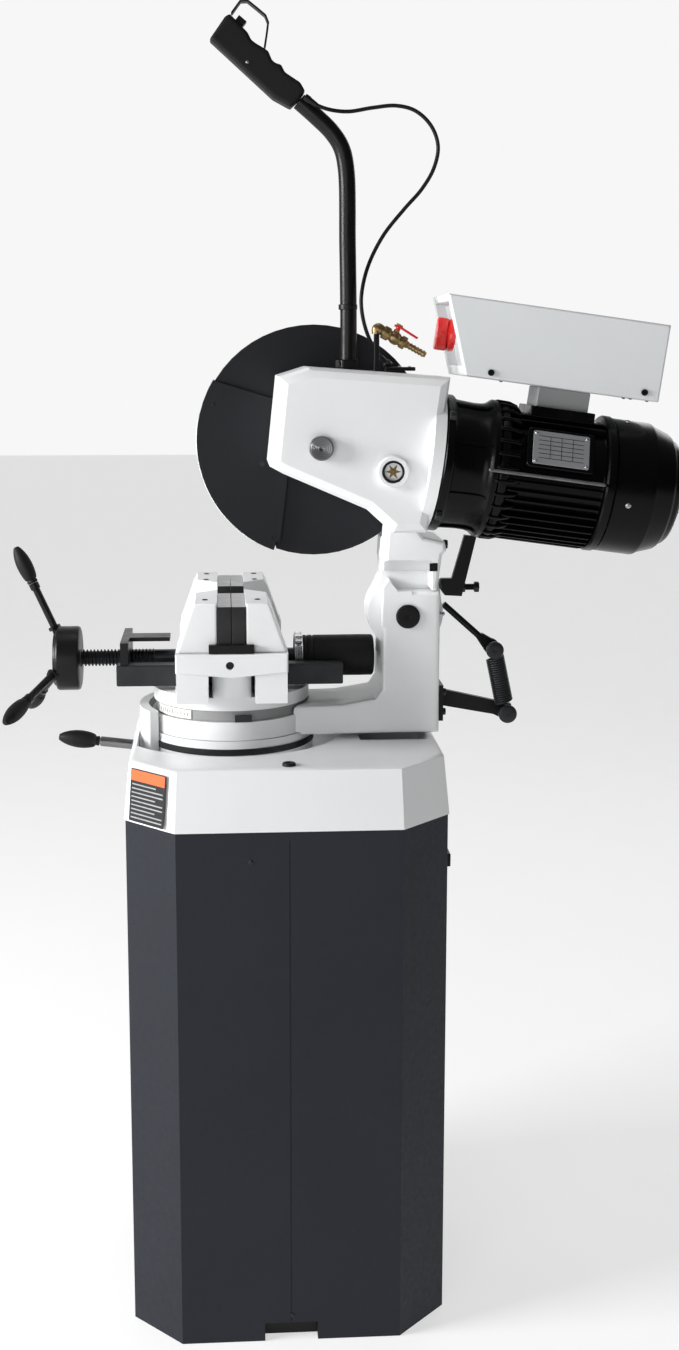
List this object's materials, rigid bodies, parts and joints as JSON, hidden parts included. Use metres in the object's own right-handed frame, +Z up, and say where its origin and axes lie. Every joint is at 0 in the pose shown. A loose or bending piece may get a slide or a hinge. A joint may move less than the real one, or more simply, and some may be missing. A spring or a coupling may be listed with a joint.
{
  "type": "abrasive chop saw",
  "caption": "Pedestal metal-cutting saw: a guarded disc on a spring-returned tilting head, swing arm, self-centring vise and coolant tray on a sheet cabinet.",
  "frame": {"origin": "on the floor, under the vertical axis that the swing arm turns about", "axes": "+Z up, +X from the handwheel side to the motor side, +Y from the vise's front to the back of the cabinet"},
  "size_m": [0.9822, 0.494, 1.9374],
  "materials": {
    "white_casting": "smooth satin enamel on a casting",
    "cabinet_blue": "fine textured dark blue-grey powder coat",
    "dark_steel": "dark ground or blackened steel",
    "scale_white": "printed scale strip",
    "bright_steel": "turned and ground steel",
    "rubber_black": "matt moulded rubber",
    "black_paint": "satin black paint",
    "motor_black": "satin black paint on a finned casting",
    "black_plastic": "matt moulded plastic",
    "guard_grey": "dark grey satin paint",
    "box_grey": "light grey sheet metal",
    "brass": "turned brass",
    "red_plastic": "glossy red"
  },
  "bodies": {
    "base": {"cabinet_shell": "cabinet_blue", "top_tray": "white_casting", "swing_post": "dark_steel", "swing_scale": "scale_white", "vise_base": "white_casting", "bed_flange": "black_paint", "near_rail": "dark_steel", "far_rail": "dark_steel", "screw_bracket": "black_paint", "screw_boot": "rubber_black", "boot_clamp": "bright_steel"},
    "door": {"cabinet_door": "cabinet_blue", "door_latch": "black_paint"},
    "lock": {"lock_lever": "bright_steel", "lock_knob": "rubber_black"},
    "arm": {"swing_arm": "white_casting", "pivot_shaft": "black_paint", "swing_pointer": "dark_steel", "spring_bracket": "black_paint", "spring_pin_low": "dark_steel"},
    "screw": {"lead_screw": "bright_steel", "handwheel": "black_paint", "wheel_knob_1": "rubber_black", "wheel_knob_2": "rubber_black", "wheel_knob_3": "rubber_black"},
    "jaw_left": {"left_jaw": "white_casting", "left_plate_near": "bright_steel", "left_plate_far": "bright_steel"},
    "jaw_right": {"right_jaw": "white_casting", "right_plate_near": "bright_steel", "right_plate_far": "bright_steel"},
    "head": {"gearbox": "white_casting", "oil_sight": "brass", "fixed_guard": "guard_grey", "stop_arm": "dark_steel", "stop_bolt": "bright_steel", "spring_rod": "dark_steel", "spring_pin_high": "dark_steel", "motor_adapter": "motor_black", "motor_frame": "motor_black", "fan_cowl": "motor_black", "terminal_riser": "box_grey", "switch_box": "box_grey", "handle_tube": "black_paint", "grip": "rubber_black", "trigger_guard": "black_plastic", "control_cable": "black_plastic", "cable_gland": "black_paint", "valve_post": "black_paint", "valve_body": "brass"},
    "guard": {"moving_guard": "guard_grey"},
    "rotor": {"motor_rotor": "dark_steel"},
    "spindle_set": {"spindle": "bright_steel", "blade": "bright_steel", "blade_flange": "dark_steel"},
    "trigger_key": {"trigger": "black_plastic"},
    "switch": {"switch_knob": "red_plastic"},
    "valve": {"valve_lever": "red_plastic"},
    "spring_link": {"spring_coil": "dark_steel"},
    "spring_end": {"spring_drawbar": "dark_steel"}
  },
  "joints": [
    {"name": "door_hinge", "type": "hinge", "parent": "base", "child": "door", "pos_m": [0.3184, 0.1615, 0.4], "axis": [0, 0, 1], "range_deg": [0, 110]},
    {"name": "lock_turn", "type": "hinge", "parent": "base", "child": "lock", "pos_m": [-0.134, 0, 0.847], "axis": [0, 0, 1], "range_deg": [-20, 20]},
    {"name": "arm_swing", "type": "hinge", "parent": "base", "child": "arm", "pos_m": [0, 0, 0.9], "axis": [0, 0, -1], "range_deg": [0, 45]},
    {"name": "screw_turn", "type": "hinge", "parent": "base", "child": "screw", "pos_m": [-0.229, 0.005, 0.984], "axis": [1, 0, 0], "range_deg": [0, 3600]},
    {"name": "left_jaw_slide", "type": "slide", "parent": "base", "child": "jaw_left", "axis": [1, 0, 0], "range_m": [-0.0501, 0]},
    {"name": "right_jaw_slide", "type": "slide", "parent": "base", "child": "jaw_right", "axis": [1, 0, 0], "range_m": [0, 0.0501]},
    {"name": "head_tilt", "type": "hinge", "parent": "arm", "child": "head", "pos_m": [0.264, 0, 1.0563], "axis": [0, 1, 0], "range_deg": [-38, 0]},
    {"name": "guard_turn", "type": "hinge", "parent": "head", "child": "guard", "pos_m": [0.126, 0, 1.316], "axis": [0, 1, 0], "range_deg": [0, 95.5]},
    {"name": "rotor_turn", "type": "hinge", "parent": "head", "child": "rotor", "pos_m": [0.37, -0.136, 1.281], "axis": [0.9907, 0, -0.1357], "continuous": true},
    {"name": "spindle_turn", "type": "hinge", "parent": "head", "child": "spindle_set", "pos_m": [0.126, 0, 1.316], "axis": [0, 1, 0], "continuous": true},
    {"name": "trigger_press", "type": "slide", "parent": "head", "child": "trigger_key", "axis": [-0.634, 0, -0.7733], "range_m": [0, 0.004], "stiffness_N_per_m": 400, "springref_m": -0.002},
    {"name": "switch_turn", "type": "hinge", "parent": "head", "child": "switch", "pos_m": [0.305, -0.091, 1.46], "axis": [-0.9907, 0, 0.1357], "range_deg": [0, 90]},
    {"name": "valve_turn", "type": "hinge", "parent": "head", "child": "valve", "pos_m": [0.2394, -0.12, 1.4764], "axis": [0.4856, 0, 0.8742], "range_deg": [0, 90]},
    {"name": "spring_follow", "type": "hinge", "parent": "arm", "child": "spring_link", "pos_m": [0.4206, -0.04, 0.9006], "axis": [0, 1, 0], "range_deg": [0, 7.73]},
    {"name": "spring_stretch", "type": "slide", "parent": "spring_link", "child": "spring_end", "axis": [-0.2094, 0, 0.9778], "range_m": [0, 0.094], "deforming": ["spring_coil"]}
  ],
  "couplings": [
    {"joint": "left_jaw_slide", "follows": "screw_turn", "m_per_rad": -0.00079577},
    {"joint": "right_jaw_slide", "follows": "screw_turn", "m_per_rad": 0.00079577},
    {"joint": "guard_turn", "follows": "head_tilt", "ratio": -2.5},
    {"joint": "spindle_turn", "follows": "rotor_turn", "ratio": 0.030303},
    {"joint": "spring_follow", "follows": "head_tilt", "ratio": -0.20199},
    {"joint": "spring_stretch", "follows": "head_tilt", "m_per_rad": -0.1413}
  ]
}
